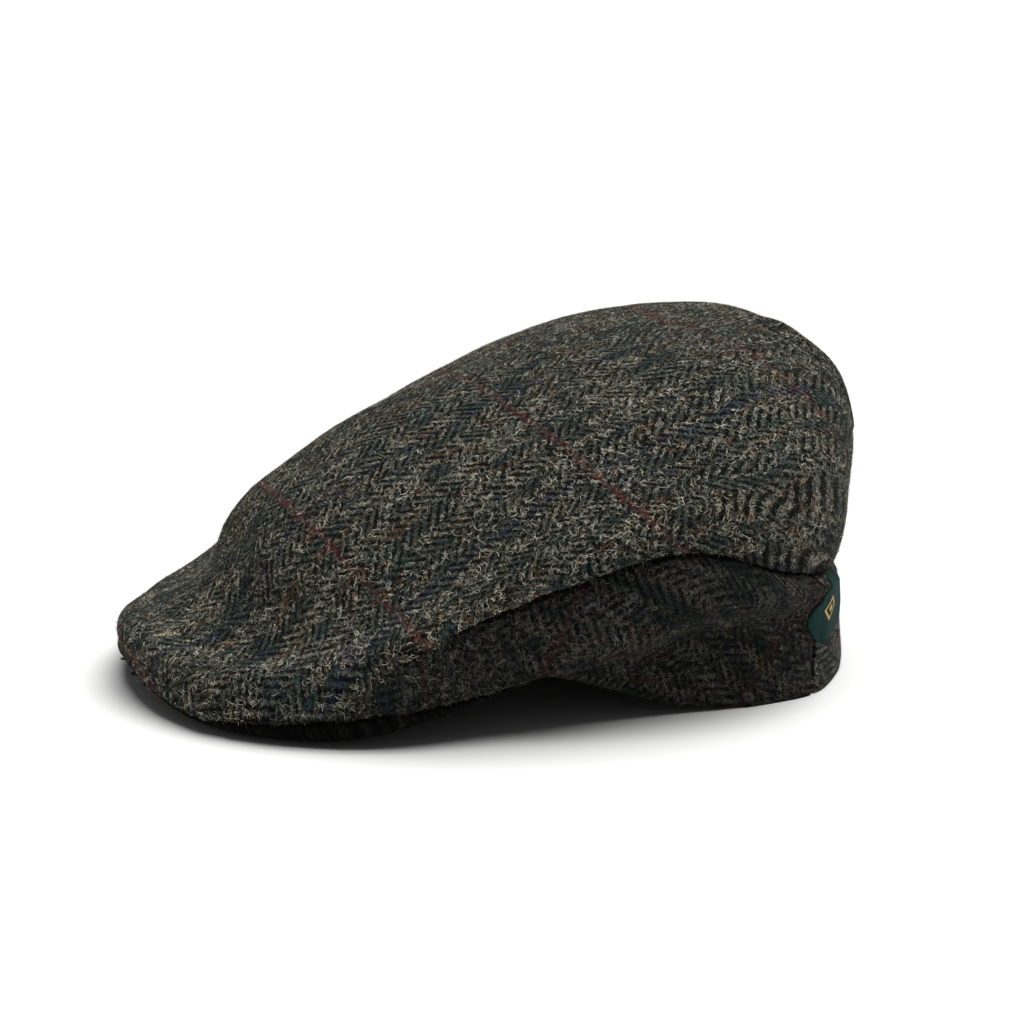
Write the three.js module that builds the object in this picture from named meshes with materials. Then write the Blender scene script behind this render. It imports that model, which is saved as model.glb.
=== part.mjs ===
// A tweed flat cap standing on its hem and its peak, in millimetres.
// The peak points along -Y, the wearer's left is +X, and z = 0 is the surface that the cap stands on.
// The form is worked out round an upright line through the crown: a turn of 0 degrees is the peak's
// middle, 90 the wearer's left side and 180 the middle of the back.
import * as THREE from "three";

// Driving dimensions
const CLOTH = 2.0;
const GAP = 0.3;
const SEAM_GAP_TURN = 0.16;
const CENTRE_Y = 24.87;
const CENTRE_HEIGHT = 115.2;
const CENTRE_SLOPE = 0.225;
const PUFF = 1.0;
const GROOVE = 0.5;
const STRIP_BULGE = 2.6;
const PUFF_START_TURN = 10;
const PUFF_END_TURN = 45;
const EDGE_TURN_IN = 0.5;
const EDGE_DROP = 0.2;
const HEM_WALL = 3.0;
const BACK_SEAM_TURN = 129;
const STRIP_START_TURN = 23;
const TEMPLE_START_TURN = 65;
const TEMPLE_END_TURN = 72;
const PEAK_END_TURN = 63;
const LEDGE = 2.8;
const RIDGE = 3.2;
const RIDGE_SPREAD = 7;
const PEAK_CURVE = 1.8;

// How finely the pieces are divided
const CROWN_SECTORS = 66;
const CROWN_SHARES = [0.09, 0.18, 0.27, 0.36, 0.44, 0.52, 0.6, 0.67, 0.74, 0.8, 0.86, 0.91, 0.96, 1];
const CROWN_SIDE_SHARES = [1.2, 1.45, 1.7, 1.88];
const SIDE_STEPS = 46;
const BACK_STEPS = 30;
const PEAK_STEPS = 36;
const LABEL_STEPS = 12;

// The strip between the top seam and the fold: shares of the way down, and how its bulge fills out.
const STRIP = { shares: [0, 0.28, 0.55, 0.8], fullHeight: 12, bulgeStart: 0.12, bulgeSpan: 0.8 };

// The rim that ends the strip over the peak: outer points by distance in from the fold, inner ones
// by height over it.
const RIM = {
  inside: [0.5, 1.0, 1.5, 1.8, 2.1],
  up: [1.7, 1.4, 1.1, 0.8, 0.5],
  wall: 2.3,
  high: 2.0,
  lift: 0.15,
};

// How much of the rear seams' ridge shows at the fold and at the hem.
const RIDGE_SHARE = { fold: 0.4, hem: 0.6 };

// The band's points between the fold, the tuck under it and the hem, as shares, with its slack.
const TURN_UNDER = { out: 0.62, up: 0.42, wall: 0.6 };
const BAND_MIDDLE = { in: 0.4, up: 0.6, slack: 0.6 };
const BAND_FOOT = { up: 0.22, out: 0.3 };
const FOLD_WALL = { share: 1.25, lift: 0.3 };

// The peak's edge: set in from the fold, rounded above and below, thinner toward the inner edge.
const PEAK_EDGE = { inset: 1.0, drop: 0.5, lean: 0.6, thinning: 0.35, roundOut: 0.1, roundDown: 0.62 };
const PEAK_SHARES = [0, 0.05, 0.12, 0.22, 0.35, 0.5, 0.68, 0.85, 1];

// The label: its wall, its lift over the cloth, the turns that it covers before and after the rear
// seam, and the band's points that it follows.
const LABEL = {
  wall: 1.0,
  lift: 0.4,
  before: 1.8,
  after: 12.5,
  firstPoint: 1,
  lastPoint: 7,
  lastShare: 0.12,
};

const COLOURS = {
  tweed: 0x3a3a2c,
  tweedSide: 0x34342a,
  tweedBack: 0x3d3a30,
  peak: 0x2a2822,
  label: 0x14382e,
};

// The top panel. reach: distance out to its widest line. widest: height of that line.
// at20 to at75: height where the surface leans 20 to 75 degrees of the way out to the widest line.
// seamReach and seamHeight: the panel's lower edge.
const CROWN = table("turn reach at20 at40 at50 at60 at75 widest seamReach seamHeight", [
  [0, 160.5, 97.6, 68.5, 42.5, 28.7, 24.7, 21, 159.5, 16.1],
  [20, 154, 98, 70.5, 44, 28.6, 22, 14.5, 153.5, 8.1],
  [30, 142.8, 99, 73.5, 52, 36.5, 28.5, 22, 142, 16.8],
  [40, 130.5, 101, 77.5, 60.5, 45.5, 35.5, 30, 129.5, 27.8],
  [60, 115, 105.7, 89, 77, 65, 56.5, 50.5, 111.5, 46.2],
  [80, 104.5, 110.6, 99.5, 91, 82.5, 75, 65.5, 100.8, 56],
  [100, 105, 114, 108, 102, 94, 84.5, 71.5, 101.5, 55.5],
  [120, 109, 117, 116, 110.5, 102, 89.5, 74, 105, 47],
  [140, 110, 119.5, 121, 116, 107.5, 93, 75, 104.5, 40],
  [160, 110, 121, 123.5, 119.5, 112.5, 96.5, 76, 104, 37],
  [180, 110.5, 121.5, 124, 120.5, 114, 97.5, 76.5, 104.5, 37],
]);

// The side and back panels below the top panel: the line where they fold under, which is also
// the upper line of the peak's edge, and the hem round the head opening.
const BAND = table("turn foldReach foldHeight tuckReach tuckHeight hemReach hemHeight", [
  [0, 161.5, 15.2, 159, 14, 158, 13],
  [20, 155, 7, 152, 6, 151, 5],
  [40, 134.5, 11.8, 132, 10, 131, 9],
  [60, 112.5, 20, 108, 19, 106, 18],
  [70, 108.5, 26, 104, 23.5, 103, 21.5],
  [85, 106, 33.5, 93, 25, 92, 11],
  [100, 108, 40, 90.5, 30, 89.5, 2.6],
  [115, 111, 41.5, 98, 32, 97, 0],
  [130, 109, 38.5, 105.5, 30, 105.5, 0],
  [145, 106.5, 35, 107.5, 27, 108.5, 0],
  [160, 106, 33, 108, 26, 108.5, 0],
  [180, 106.5, 33, 108.5, 26, 109, 0],
]);

// The peak: distance of its inner edge, its rise from the outer edge to the inner one, and
// the depth of its outer edge.
const PEAK = table("turn innerReach rise depth", [
  [0, 88, 25, 3.6],
  [20, 89, 27, 4.4],
  [40, 91, 25, 6.2],
  [55, 95, 13, 3],
  [63, 99, 5, 1.2],
]);

function table(names, rows) {
  const keys = names.split(" ");
  return rows.map((row) => Object.fromEntries(keys.map((key, i) => [key, row[i]])));
}

// Smooth value through knots, with zero slope at both ends unless other end slopes are given.
function smooth(at, knots, values, firstSlope = 0, lastSlope = 0) {
  const last = knots.length - 1;
  const x = Math.min(Math.max(at, knots[0]), knots[last]);
  let i = 0;
  while (i < last - 1 && x > knots[i + 1]) {
    i += 1;
  }
  const slope = (k) => {
    if (k === 0) {
      return firstSlope;
    }
    if (k === last) {
      return lastSlope;
    }
    return (values[k + 1] - values[k - 1]) / (knots[k + 1] - knots[k - 1]);
  };
  const span = knots[i + 1] - knots[i];
  const u = (x - knots[i]) / span;
  const endWeight = u * u * (3 - 2 * u);
  const startTangent = u * (1 - u) * (1 - u) * span * slope(i);
  const endTangent = -u * u * (1 - u) * span * slope(i + 1);
  return values[i] * (1 - endWeight) + values[i + 1] * endWeight + startTangent + endTangent;
}

// A turn folded into 0 to 180 degrees, because the cap is alike on both sides.
function folded(turn) {
  const whole = ((turn % 360) + 360) % 360;
  return whole > 180 ? 360 - whole : whole;
}

function column(rows, name, turn) {
  const knots = rows.map((row) => row.turn);
  const values = rows.map((row) => row[name]);
  return smooth(folded(turn), knots, values);
}

function rad(degrees) {
  return (degrees * Math.PI) / 180;
}

function place(turn, reach, height) {
  const x = reach * Math.sin(rad(turn));
  const y = CENTRE_Y - reach * Math.cos(rad(turn));
  return new THREE.Vector3(x, y, height);
}

function step(low, high, at) {
  const u = Math.min(Math.max((at - low) / (high - low), 0), 1);
  return u * u * (3 - 2 * u);
}

// The upright ridge that the rear seams make in the band.
function ridge(turn) {
  const away = (folded(turn) - BACK_SEAM_TURN) / RIDGE_SPREAD;
  return RIDGE * Math.exp(-away * away);
}

// Height of the crown's outer face, for a lean of 0 at the centre to 90 at the widest line.
function crownHeight(turn, lean) {
  const knots = [0, 20, 40, 50, 60, 75, 90];
  const names = ["at20", "at40", "at50", "at60", "at75", "widest"];
  const heights = names.map((name) => column(CROWN, name, turn));
  const reach = column(CROWN, "reach", turn);
  const centreSlope = -CENTRE_SLOPE * Math.cos(rad(turn)) * rad(reach);
  const edgeSlope = (heights[5] - heights[4]) / 15;
  return smooth(lean, knots, [CENTRE_HEIGHT, ...heights], centreSlope, 1.3 * edgeSlope);
}

// The top panel's outer face: share 0 to 1 from the centre to the widest line, 1 to 2 on to its edge.
function crownPoint(turn, share) {
  const reach = column(CROWN, "reach", turn);
  if (share <= 1) {
    const lean = 90 * share;
    return place(turn, reach * Math.sin(rad(lean)), crownHeight(turn, lean));
  }
  const down = share - 1;
  const seamReach = column(CROWN, "seamReach", turn);
  const widest = column(CROWN, "widest", turn);
  const seamHeight = column(CROWN, "seamHeight", turn);
  const puff = PUFF * Math.sin(Math.PI * down) * step(PUFF_START_TURN, PUFF_END_TURN, folded(turn));
  const r = reach + (seamReach - reach) * down * down + puff;
  return place(turn, r, widest + (seamHeight - widest) * down);
}

// A point moved along the inward normal of the surface that it lies on.
function inward(surface, turn, share, wall) {
  const small = 0.02;
  const around = surface(turn + 1, share).sub(surface(turn - 1, share));
  const along = surface(turn, share + small).sub(surface(turn, Math.max(share - small, 0.001)));
  const normal = around.cross(along).normalize();
  return surface(turn, share).addScaledVector(normal, wall);
}

function meshOf(name, triangles, colour) {
  const geometry = new THREE.BufferGeometry();
  const flat = triangles.flatMap((triangle) => triangle.flatMap((p) => [p.x, p.y, p.z]));
  geometry.setAttribute("position", new THREE.Float32BufferAttribute(flat, 3));
  geometry.computeVertexNormals();
  const material = new THREE.MeshStandardMaterial({ color: colour, roughness: 0.95, metalness: 0 });
  const mesh = new THREE.Mesh(geometry, material);
  mesh.name = name;
  return mesh;
}

function quad(triangles, a, b, c, d) {
  triangles.push([a, b, c], [a, c, d]);
}

// The solid between an outer and an inner sheet, each a grid of rows with the same number of points.
function slab(name, outer, inner, colour) {
  const triangles = [];
  const rows = outer.length;
  const last = outer[0].length - 1;
  for (let i = 0; i < rows - 1; i += 1) {
    for (let j = 0; j < last; j += 1) {
      quad(triangles, outer[i][j], outer[i][j + 1], outer[i + 1][j + 1], outer[i + 1][j]);
      quad(triangles, inner[i][j], inner[i + 1][j], inner[i + 1][j + 1], inner[i][j + 1]);
    }
    quad(triangles, outer[i][0], outer[i + 1][0], inner[i + 1][0], inner[i][0]);
    quad(triangles, outer[i][last], inner[i][last], inner[i + 1][last], outer[i + 1][last]);
  }
  for (let j = 0; j < last; j += 1) {
    const end = rows - 1;
    quad(triangles, outer[0][j], inner[0][j], inner[0][j + 1], outer[0][j + 1]);
    quad(triangles, outer[end][j], outer[end][j + 1], inner[end][j + 1], inner[end][j]);
  }
  return meshOf(name, triangles, colour);
}

function turnsBetween(first, last, count) {
  return Array.from({ length: count + 1 }, (_, i) => first + ((last - first) * i) / count);
}

// Top panel: one piece of cloth over the crown and the peak
function topPanel() {
  const all = [...CROWN_SHARES, ...CROWN_SIDE_SHARES];
  const turns = turnsBetween(0, 360, CROWN_SECTORS).slice(0, CROWN_SECTORS);
  const outer = turns.map((turn) => {
    const face = all.map((share) => crownPoint(turn, share));
    const seamReach = column(CROWN, "seamReach", turn);
    const seamHeight = column(CROWN, "seamHeight", turn);
    return [...face, place(turn, seamReach - EDGE_TURN_IN, seamHeight + EDGE_DROP)];
  });
  const inner = turns.map((turn) => {
    const face = all.map((share) => inward(crownPoint, turn, share, CLOTH));
    const seamReach = column(CROWN, "seamReach", turn);
    const seamHeight = column(CROWN, "seamHeight", turn);
    return [...face, place(turn, seamReach - CLOTH - GAP, seamHeight + EDGE_TURN_IN + EDGE_DROP)];
  });
  const top = place(0, 0, CENTRE_HEIGHT);
  const under = place(0, 0, CENTRE_HEIGHT - CLOTH);
  const last = all.length;
  const triangles = [];
  for (let i = 0; i < CROWN_SECTORS; i += 1) {
    const next = (i + 1) % CROWN_SECTORS;
    triangles.push([top, outer[i][0], outer[next][0]]);
    triangles.push([under, inner[next][0], inner[i][0]]);
    for (let j = 0; j < last; j += 1) {
      quad(triangles, outer[i][j], outer[i][j + 1], outer[next][j + 1], outer[next][j]);
      quad(triangles, inner[i][j], inner[next][j], inner[next][j + 1], inner[i][j + 1]);
    }
    quad(triangles, outer[i][last], inner[i][last], inner[next][last], outer[next][last]);
  }
  return meshOf("top_panel", triangles, COLOURS.tweed);
}

// One upright section of a side or back panel, from the seam over the fold to the hem.
// It gives matching outer and inner points as pairs of reach and height.
function bandSection(turn) {
  const seam = {
    r: column(CROWN, "seamReach", turn) - GROOVE,
    z: column(CROWN, "seamHeight", turn) - GROOVE,
  };
  const value = (name) => column(BAND, name, turn);
  const swell = ridge(turn);
  const fold = { r: value("foldReach") + RIDGE_SHARE.fold * swell, z: value("foldHeight") };
  const tuck = { r: value("tuckReach") + swell, z: value("tuckHeight") };
  const hem = { r: value("hemReach") + RIDGE_SHARE.hem * swell, z: value("hemHeight") };
  const height = seam.z - fold.z;
  const bulge = STRIP_BULGE * Math.min(1, height / STRIP.fullHeight);
  const swelling = (share) => bulge * Math.sin(Math.PI * (STRIP.bulgeStart + STRIP.bulgeSpan * share));
  const strip = STRIP.shares.map((share) => ({
    r: seam.r + (fold.r - seam.r) * share + swelling(share) * share,
    z: fold.z + height * (1 - share),
  }));
  const stripInner = strip.map((p) => ({ r: p.r - CLOTH, z: p.z }));
  const open = step(TEMPLE_START_TURN, TEMPLE_END_TURN, folded(turn));

  // Below the temple the strip ends at the peak's edge in a plain rim.
  const rim = RIM.inside.map((inside) => ({ r: fold.r - inside, z: fold.z - RIM.lift }));
  const rimInner = RIM.up.map((up) => ({ r: fold.r - RIM.wall, z: fold.z + up }));

  const band = [
    {
      r: tuck.r + TURN_UNDER.out * (fold.r - tuck.r),
      z: tuck.z + TURN_UNDER.up * (fold.z - tuck.z),
    },
    { r: tuck.r, z: tuck.z },
    {
      r: tuck.r + BAND_MIDDLE.in * (hem.r - tuck.r) - BAND_MIDDLE.slack,
      z: hem.z + BAND_MIDDLE.up * (tuck.z - hem.z),
    },
    { r: hem.r + BAND_FOOT.out, z: hem.z + BAND_FOOT.up * (tuck.z - hem.z) },
    { r: hem.r, z: hem.z },
  ];
  const foldInner = { r: fold.r - FOLD_WALL.share * CLOTH, z: fold.z + FOLD_WALL.lift };
  const bandInner = [
    { r: band[0].r - TURN_UNDER.wall * CLOTH, z: band[0].z + CLOTH },
    { r: tuck.r - CLOTH, z: tuck.z + 0.5 * CLOTH },
    { r: band[2].r - CLOTH, z: band[2].z },
    { r: hem.r - HEM_WALL, z: band[3].z },
    { r: hem.r - HEM_WALL, z: hem.z },
  ];
  const mix = (a, b) => ({ r: a.r + (b.r - a.r) * open, z: a.z + (b.z - a.z) * open });
  const rimFoldInner = { r: fold.r - RIM.wall, z: fold.z + RIM.high };
  const below = rim.map((p, i) => mix(p, band[i]));
  const belowInner = rimInner.map((p, i) => mix(p, bandInner[i]));
  return {
    outer: [...strip, fold, ...below],
    inner: [...stripInner, mix(rimFoldInner, foldInner), ...belowInner],
  };
}

function bandPanel(name, first, last, count, colour) {
  const turns = turnsBetween(first, last, count);
  const sections = turns.map(bandSection);
  const toPoints = (key) =>
    sections.map((section, i) => section[key].map((p) => place(turns[i], p.r, p.z)));
  return slab(name, toPoints("outer"), toPoints("inner"), colour);
}

// Peak: a curved stiff board in cloth, with a thick outer edge
function peakSection(turn) {
  const edgeReach = column(BAND, "foldReach", turn) - PEAK_EDGE.inset;
  const edgeHeight = column(BAND, "foldHeight", turn) - RIM.lift - GAP;
  const innerReach = column(PEAK, "innerReach", turn);
  const rise = column(PEAK, "rise", turn);
  const depth = column(PEAK, "depth", turn);
  const start = edgeReach - LEDGE;
  const upper = PEAK_SHARES.map((share) => ({
    r: start + (innerReach - start) * share,
    z: edgeHeight - PEAK_EDGE.drop + rise * (1 - (1 - share) ** PEAK_CURVE),
  }));
  const lower = upper.map((p, i) => ({
    r: p.r - PEAK_EDGE.lean,
    z: p.z - depth * (1 - PEAK_EDGE.thinning * PEAK_SHARES[i]),
  }));
  const outer = [{ r: edgeReach, z: edgeHeight }, ...upper];
  const rounded = { r: edgeReach + PEAK_EDGE.roundOut, z: edgeHeight - PEAK_EDGE.roundDown * depth };
  const under = [rounded, ...lower];
  return { outer, under };
}

function peak() {
  const turns = turnsBetween(-PEAK_END_TURN, PEAK_END_TURN, PEAK_STEPS);
  const sections = turns.map(peakSection);
  const toPoints = (key) =>
    sections.map((section, i) => section[key].map((p) => place(turns[i], p.r, p.z)));
  const outer = toPoints("outer").map((row) => row.reverse());
  const under = toPoints("under").map((row) => row.reverse());
  return slab("peak", outer, under, COLOURS.peak);
}

// Label: a small patch folded over the rear left seam, hanging from the top panel's seam
function label() {
  const turns = turnsBetween(BACK_SEAM_TURN - LABEL.before, BACK_SEAM_TURN + LABEL.after, LABEL_STEPS);
  const sheet = (lift) =>
    turns.map((turn) => {
      const section = bandSection(turn).outer;
      const covered = section.slice(LABEL.firstPoint, LABEL.lastPoint + 1);
      const below = section[LABEL.lastPoint + 1];
      const lowest = covered[covered.length - 1];
      const end = {
        r: lowest.r + (below.r - lowest.r) * LABEL.lastShare,
        z: lowest.z + (below.z - lowest.z) * LABEL.lastShare,
      };
      const line = [...covered, end];
      return line.map((p, i) => {
        const before = line[Math.max(i - 1, 0)];
        const after = line[Math.min(i + 1, line.length - 1)];
        const length = Math.hypot(after.r - before.r, after.z - before.z);
        const out = (before.z - after.z) / length;
        const up = (after.r - before.r) / length;
        return place(turn, p.r + out * lift, p.z + up * lift);
      });
    });
  return slab("label", sheet(LABEL.lift + LABEL.wall), sheet(LABEL.lift), COLOURS.label);
}

const sideEnd = BACK_SEAM_TURN - SEAM_GAP_TURN;
const group = new THREE.Group();
group.add(
  topPanel(),
  bandPanel("side_panel_left", STRIP_START_TURN, sideEnd, SIDE_STEPS, COLOURS.tweedSide),
  bandPanel("side_panel_right", 360 - sideEnd, 360 - STRIP_START_TURN, SIDE_STEPS, COLOURS.tweedSide),
  bandPanel("back_panel", BACK_SEAM_TURN, 360 - BACK_SEAM_TURN, BACK_STEPS, COLOURS.tweedBack),
  peak(),
  label(),
);

export default group;
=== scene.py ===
import math

import bmesh
import bpy
import numpy as np
from mathutils import Matrix, Vector, noise
from mathutils.bvhtree import BVHTree


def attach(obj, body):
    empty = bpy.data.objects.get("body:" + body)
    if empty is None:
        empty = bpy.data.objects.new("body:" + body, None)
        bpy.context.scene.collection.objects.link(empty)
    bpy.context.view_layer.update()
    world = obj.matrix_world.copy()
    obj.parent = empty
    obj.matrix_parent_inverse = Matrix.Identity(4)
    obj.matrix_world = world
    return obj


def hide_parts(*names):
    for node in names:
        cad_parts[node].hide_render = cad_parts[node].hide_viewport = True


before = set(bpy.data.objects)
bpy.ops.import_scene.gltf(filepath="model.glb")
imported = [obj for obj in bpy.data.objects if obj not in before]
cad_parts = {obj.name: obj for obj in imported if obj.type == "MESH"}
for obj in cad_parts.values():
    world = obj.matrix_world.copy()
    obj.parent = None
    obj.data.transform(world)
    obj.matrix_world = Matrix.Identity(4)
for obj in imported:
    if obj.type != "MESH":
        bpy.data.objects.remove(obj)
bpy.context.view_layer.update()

# Sizes in metres, angles in degrees. A turn is counted round the head opening, from the peak's
# middle at 0 to the back at 180, alike on both sides
CENTRE_Y = 0.02487
LABEL_TURN = 129.0

# The weave: one thread, the long threads in a herringbone column, and the windowpane's lines
THREAD = 0.00095
COLUMN = 8
NAVY_SPACING = 0.057
NAVY_START = 0.0300
RUST_SPACING = 0.0785
RUST_START = 0.0

# How square a firm edge stays when the mesh is smoothed, and how high the hem's rim reaches
FIRM = 0.85
RIM_TOP = 0.0004

# A face looks outward when its normal leads away from the inside by more than OUTER. The inside
# is a point in the resting plane at INNER_SHARE of the face's y
INNER_SHARE = 0.75
OUTER = 0.003

# Walls of the front cover and of the other thin cloths, and how far the outer faces of these
# lie over (+) or behind (-) the cloth that they follow
COVER_WALL = 0.0004
THIN_WALL = 0.0006
LABEL_LIFT = 0.0011
BACKING_LIFT = -0.0012
ALLOWANCE_DEPTH = 0.0030

# Fibres: half widths, taper along the ribbon, lift off the cloth and least height over the floor
FIBRE_HALF = (0.00003, 0.00006)
FIBRE_TAPER = (0.8, 1.0, 0.9, 0.25)
FIBRE_LIFT = 0.00012
FIBRE_ROOT = 0.00004
FIBRE_FLOOR = 0.0001
UNDER_SHADE = 0.3

# Camera: azimuth, elevation, roll, distance, pixels per metre at the target, target offsets
VIEW = dict(
    azimuth=68.594, elevation=14.126, roll=0.653,
    distance=0.81605, scale=2729.5, right=0.008775, up=-0.00085,
)
PICTURE = 1024
SENSOR = 36
AIM_HEIGHT = 0.055

# Floor, world and lamp
FLOOR_COLOUR = (0.76, 0.76, 0.755, 1)
FLOOR_ROUGHNESS = 0.9
WORLD_STRENGTH = 0.14
LAMP_TOWARD = (0.06, 0.26, 1.0)
LAMP_SPREAD = 60
LAMP_POWER = 4.6

# Centre line of the crown in the cap's middle plane, from the peak's edge to the back seam:
# y, z, and the tilt in degrees of the cloth's cross threads there
CENTRE_LINE = [
    (-0.1358, 0.0150, 30), (-0.1352, 0.0210, 30), (-0.1300, 0.0248, 30), (-0.1140, 0.0287, 32),
    (-0.0980, 0.0425, 35), (-0.0783, 0.0685, 38), (-0.0550, 0.0840, 40), (-0.0300, 0.0976, 42),
    (-0.0050, 0.1075, 43), (0.0249, 0.1152, 43), (0.0450, 0.1192, 42), (0.0627, 0.1215, 40),
    (0.0790, 0.1235, 34), (0.0960, 0.1240, 24), (0.1100, 0.1200, 8), (0.1205, 0.1140, -8),
    (0.1300, 0.1000, -24), (0.1340, 0.0800, -34), (0.1345, 0.0600, -36), (0.1300, 0.0380, -38),
]

# Lines of the side and back panels by turn, in millimetres: the top seam, the fold, the tuck
# under it and the hem, each as its reach from the centre and its height
BAND_LINES = [
    (0, 159.5, 16, 161.5, 15, 159, 14, 158, 13), (20, 153.5, 8, 155, 7, 152, 6, 151, 5),
    (40, 129.5, 27, 134.5, 12, 132, 10, 131, 9), (60, 111.5, 46, 112.5, 20, 108, 19, 106, 18),
    (70, 105.5, 51.5, 108.5, 26, 104, 23.5, 103, 21.5), (85, 100.5, 56, 106, 33.5, 93, 25, 92, 11),
    (100, 101.5, 55.5, 108, 40, 90.5, 30, 89.5, 2.6), (115, 104, 50, 111, 41.5, 98, 32, 97, 0),
    (130, 105, 43.5, 109, 38.5, 105.5, 30, 105.5, 0), (145, 104.5, 39, 106.5, 35, 107.5, 27, 108.5, 0),
    (160, 104, 37, 106, 33, 108, 26, 108.5, 0), (180, 104.5, 37, 106.5, 33, 108.5, 26, 109, 0),
]

# Soft pulls that give the cloth its set, in millimetres: the point (either side alike), how far
# each reaches in x, y and z, and how far it moves the cloth outward in x, in y and in z
PULLS = [
    (20, -83, 60, 48, 15, 16, 0, -3.6, 2.6), (60, -95, 31, 26, 16, 12, 0, 0.4, -3.0),
    (46, 109, 109, 30, 22, 22, 0.8, 2.2, 1.9), (101.5, 36, 50, 40, 28, 18, 0, 0, 4.6),
    (28, -92, 50, 16, 8, 9, 0, -1.8, 2.0), (30, -103, 37, 20, 7, 8, 0, 1.0, -1.3),
    (20, -130, 26, 34, 9, 9, 0, -1.1, 1.1), (15, 102, 123, 40, 14, 9, 0, 1.5, 0.8),
    (55, 118, 66, 34, 20, 14, -0.6, -1.2, 0),
]

# The label's left and right edge: drop below the top seam in millimetres, then two turns in degrees
LABEL_EDGES = [
    (0.8, 138.0, 143.8), (3.0, 134.5, 144.0), (5.5, 130.5, 144.0), (8.0, 127.6, 144.2),
    (12.5, 125.4, 144.2), (16.5, 124.9, 143.0), (19.5, 125.4, 139.5), (22.0, 126.8, 135.0),
    (23.8, 128.2, 131.8), (24.7, 129.0, 130.2),
]

# Crease over the rear left of the crown, as x and y in millimetres
CREASE = [(6, 99), (24, 96), (36, 96.5), (41, 100), (46.7, 105), (47.5, 113), (48, 122)]

# Fibre colours, each up to its share of the yarn's own noise
YARNS = [
    (0.07, (0.026, 0.090, 0.090)), (0.12, (0.026, 0.034, 0.100)), (0.32, (0.140, 0.155, 0.125)),
    (0.62, (0.340, 0.340, 0.270)), (0.88, (0.620, 0.600, 0.490)), (0.95, (0.340, 0.240, 0.110)),
    (1.00, (0.220, 0.090, 0.055)),
]
NAVY_FIBRE = (0.022, 0.028, 0.085)
RUST_FIBRE = (0.210, 0.045, 0.042)
NAVY_CHANCE = 0.4
RUST_CHANCE = 0.35


# Meshes and points
def placed(name, data):
    """A new object in the scene."""
    made = bpy.data.objects.new(name, data)
    bpy.context.scene.collection.objects.link(made)
    return made


def applied(piece, kind, **settings):
    """Applies one modifier to a piece and shades it smooth."""
    bpy.ops.object.select_all(action="DESELECT")
    piece.select_set(True)
    bpy.context.view_layer.objects.active = piece
    modifier = piece.modifiers.new(kind.lower(), kind)
    for key, value in settings.items():
        setattr(modifier, key, value)
    bpy.ops.object.modifier_apply(modifier=modifier.name)
    piece.data.shade_smooth()


def seam_of(turn):
    """Reach and height of the top seam, and of the fold under it, at a turn."""
    rows = np.array(BAND_LINES)
    return [np.interp(turn, rows[:, 0], rows[:, k]) * 0.001 for k in range(1, 5)]


def hem_edge(a, b):
    """The rim on the resting surface stays square."""
    return FIRM if max(a.z, b.z) < RIM_TOP else 0.0


def peak_edge(a, b):
    """The peak's outer edge keeps its thickness."""
    middle = (a + b) / 2
    out = Vector((middle.x, middle.y - CENTRE_Y, 0))
    turn = math.degrees(math.atan2(abs(middle.x), CENTRE_Y - middle.y))
    around = abs((b - a).normalized().dot(out.normalized())) < 0.3
    near_rim = out.length > seam_of(turn)[2] - 0.0045
    return FIRM if around and near_rim else 0.0


def cad_copy(node, name, firm=None):
    """A merged, smoothed copy of a CAD node's mesh. firm gives how square each edge stays."""
    piece = placed(name, bpy.data.objects[node].data.copy())
    piece.data.materials.clear()
    mesh = bmesh.new()
    mesh.from_mesh(piece.data)
    bmesh.ops.remove_doubles(mesh, verts=mesh.verts, dist=2e-6)
    bmesh.ops.join_triangles(
        mesh, faces=mesh.faces, angle_face_threshold=0.7, angle_shape_threshold=1.4,
        cmp_seam=False, cmp_sharp=False, cmp_uvs=False, cmp_materials=False,
    )
    if firm:
        layer = mesh.edges.layers.float.new("crease_edge")
        for edge in mesh.edges:
            edge[layer] = firm(edge.verts[0].co, edge.verts[1].co)
    mesh.to_mesh(piece.data)
    mesh.free()
    applied(piece, "SUBSURF", levels=2, render_levels=2)
    return piece


def places(mesh, what="co"):
    """The mesh's vertices as rows of x, y and z."""
    flat = np.empty(len(mesh.vertices) * 3)
    mesh.vertices.foreach_get(what, flat)
    return flat.reshape(-1, 3)


def facings(mesh):
    """The normals at the mesh's vertices."""
    return places(mesh, "normal")


def put_places(mesh, points):
    mesh.vertices.foreach_set("co", points.ravel())
    mesh.update()


def put_uv(mesh, uv):
    layer = mesh.uv_layers[0] if mesh.uv_layers else mesh.uv_layers.new(name="cloth")
    corner = np.empty(len(mesh.loops), dtype=np.int32)
    mesh.loops.foreach_get("vertex_index", corner)
    layer.data.foreach_set("uv", uv[corner].ravel())


def outward(points, normal):
    """How far each normal points away from the inside of the cap."""
    inside = np.stack([0 * points[:, 0], INNER_SHARE * points[:, 1], 0 * points[:, 2]], 1)
    return ((points - inside) * normal).sum(1)


def turn_of(points):
    """The turn at which each point lies, from 0 to 180 on either side."""
    return np.degrees(np.arctan2(np.abs(points[:, 0]), CENTRE_Y - points[:, 1]))


def ease(low, high, at):
    """A smooth step from 0 at low to 1 at high."""
    u = np.clip((at - low) / (high - low), 0, 1)
    return u * u * (3 - 2 * u)


def pulled(points):
    """Cloth points after the soft pulls, which fade to nothing at the resting surface."""
    moved = points.copy()
    side = np.sign(points[:, 0])
    for x, y, z, wide, deep, high, dx, dy, dz in np.array(PULLS) * 0.001:
        far = (
            ((np.abs(points[:, 0]) - x) / wide) ** 2
            + ((points[:, 1] - y) / deep) ** 2
            + ((points[:, 2] - z) / high) ** 2
        )
        share = np.exp(-far) * ease(0.0, 0.006, points[:, 2])
        moved += share[:, None] * np.stack([side * dx, 0 * side + dy, 0 * side + dz], 1)
    return moved


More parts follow.
